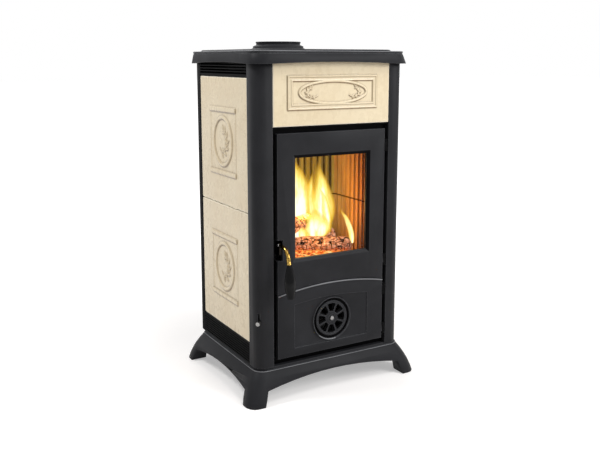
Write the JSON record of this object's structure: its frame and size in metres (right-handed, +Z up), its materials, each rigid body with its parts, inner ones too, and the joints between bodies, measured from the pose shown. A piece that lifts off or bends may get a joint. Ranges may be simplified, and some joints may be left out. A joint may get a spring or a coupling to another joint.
{
  "type": "tiled wood stove",
  "caption": "Free-standing wood stove with cast feet and top plate, glazed side and front tiles, glazed fire door, ash door with air rosette, and a flue collar on top.",
  "frame": {"origin": "middle of the footprint of the whole stove, handle included, on the floor", "axes": "+Z up, -Y towards the front with the doors, +X to the right seen from the front"},
  "size_m": [0.532, 0.4668, 0.935],
  "materials": {
    "iron_paint": "matt anthracite stove paint on iron castings",
    "sheet_steel": "matt black painted sheet",
    "raw_iron": "raw, ash-dusted",
    "refractory": "fluted firebrick, heat-stained",
    "tile_glaze": "cream crackle glaze",
    "brass": "polished",
    "bright_steel": "turned",
    "black_grip": "glossy heat-resistant",
    "rope": "braided glass-fibre rope",
    "glass": "clear ceramic glass",
    "embers": "glowing embers and ash",
    "charred_wood": "charred bark"
  },
  "bodies": {
    "casing": {"base_casting": "iron_paint", "top_plate": "iron_paint", "flue_collar": "iron_paint", "front_left_post": "iron_paint", "front_right_post": "iron_paint", "rear_left_post": "iron_paint", "rear_right_post": "iron_paint", "left_lower_tile": "tile_glaze", "left_upper_tile": "tile_glaze", "right_lower_tile": "tile_glaze", "right_upper_tile": "tile_glaze", "front_tile": "tile_glaze", "left_side_panel": "sheet_steel", "right_side_panel": "sheet_steel", "left_lower_grille": "iron_paint", "left_upper_grille": "iron_paint", "right_lower_grille": "iron_paint", "right_upper_grille": "iron_paint", "back_panel": "sheet_steel", "latch_keeper": "sheet_steel", "ash_door_catch": "sheet_steel", "fire_door_lower_pin": "bright_steel", "fire_door_upper_pin": "bright_steel", "ash_door_lower_pin": "bright_steel", "ash_door_upper_pin": "bright_steel", "front_plate": "iron_paint", "firebox_shell": "sheet_steel", "shell_left_side": "sheet_steel", "shell_right_side": "sheet_steel", "shell_roof": "sheet_steel", "hearth_plate": "raw_iron", "grate": "raw_iron", "baffle_plate": "refractory", "back_lower_lining": "refractory", "left_lower_lining": "refractory", "right_lower_lining": "refractory", "back_upper_lining": "refractory", "left_upper_lining": "refractory", "right_upper_lining": "refractory", "ember_bed": "embers", "front_log": "charred_wood", "back_log": "charred_wood", "upper_log": "charred_wood"},
    "fire_door": {"fire_door": "iron_paint", "door_seal": "rope", "glass_gasket": "rope", "door_glass": "glass", "glass_retainer": "sheet_steel", "latch_pin": "bright_steel"},
    "door_handle": {"handle_neck": "brass", "handle_grip": "black_grip"},
    "ash_door": {"ash_door": "iron_paint", "ash_door_seal": "rope", "rosette_screw": "bright_steel"},
    "rosette": {"rosette": "iron_paint"},
    "ash_drawer": {"ash_drawer": "sheet_steel"},
    "air_lever": {"air_lever": "bright_steel", "air_slider": "sheet_steel"}
  },
  "joints": [
    {"name": "fire_door_swing", "type": "hinge", "parent": "casing", "child": "fire_door", "pos_m": [0.1715, -0.16762, 0.49], "axis": [0, 0, 1], "range_deg": [0, 100]},
    {"name": "door_handle_lift", "type": "hinge", "parent": "fire_door", "child": "door_handle", "pos_m": [-0.1556, -0.16592, 0.415], "axis": [-1, 0, 0], "range_deg": [0, 45]},
    {"name": "ash_door_swing", "type": "hinge", "parent": "casing", "child": "ash_door", "pos_m": [0.1715, -0.16762, 0.19], "axis": [0, 0, 1], "range_deg": [0, 100]},
    {"name": "ash_drawer_slide", "type": "slide", "parent": "casing", "child": "ash_drawer", "axis": [0, -1, 0], "range_m": [0, 0.14]},
    {"name": "rosette_turn", "type": "hinge", "parent": "ash_door", "child": "rosette", "pos_m": [0, -0.169, 0.194], "axis": [0, 1, 0], "range_deg": [0, 22.5]},
    {"name": "air_lever_travel", "type": "slide", "parent": "casing", "child": "air_lever", "axis": [0, 0, 1], "range_m": [0, 0.019]}
  ],
  "couplings": [
    {"joint": "ash_drawer_slide", "follows": "ash_door_swing", "m_per_rad": 0.08}
  ]
}
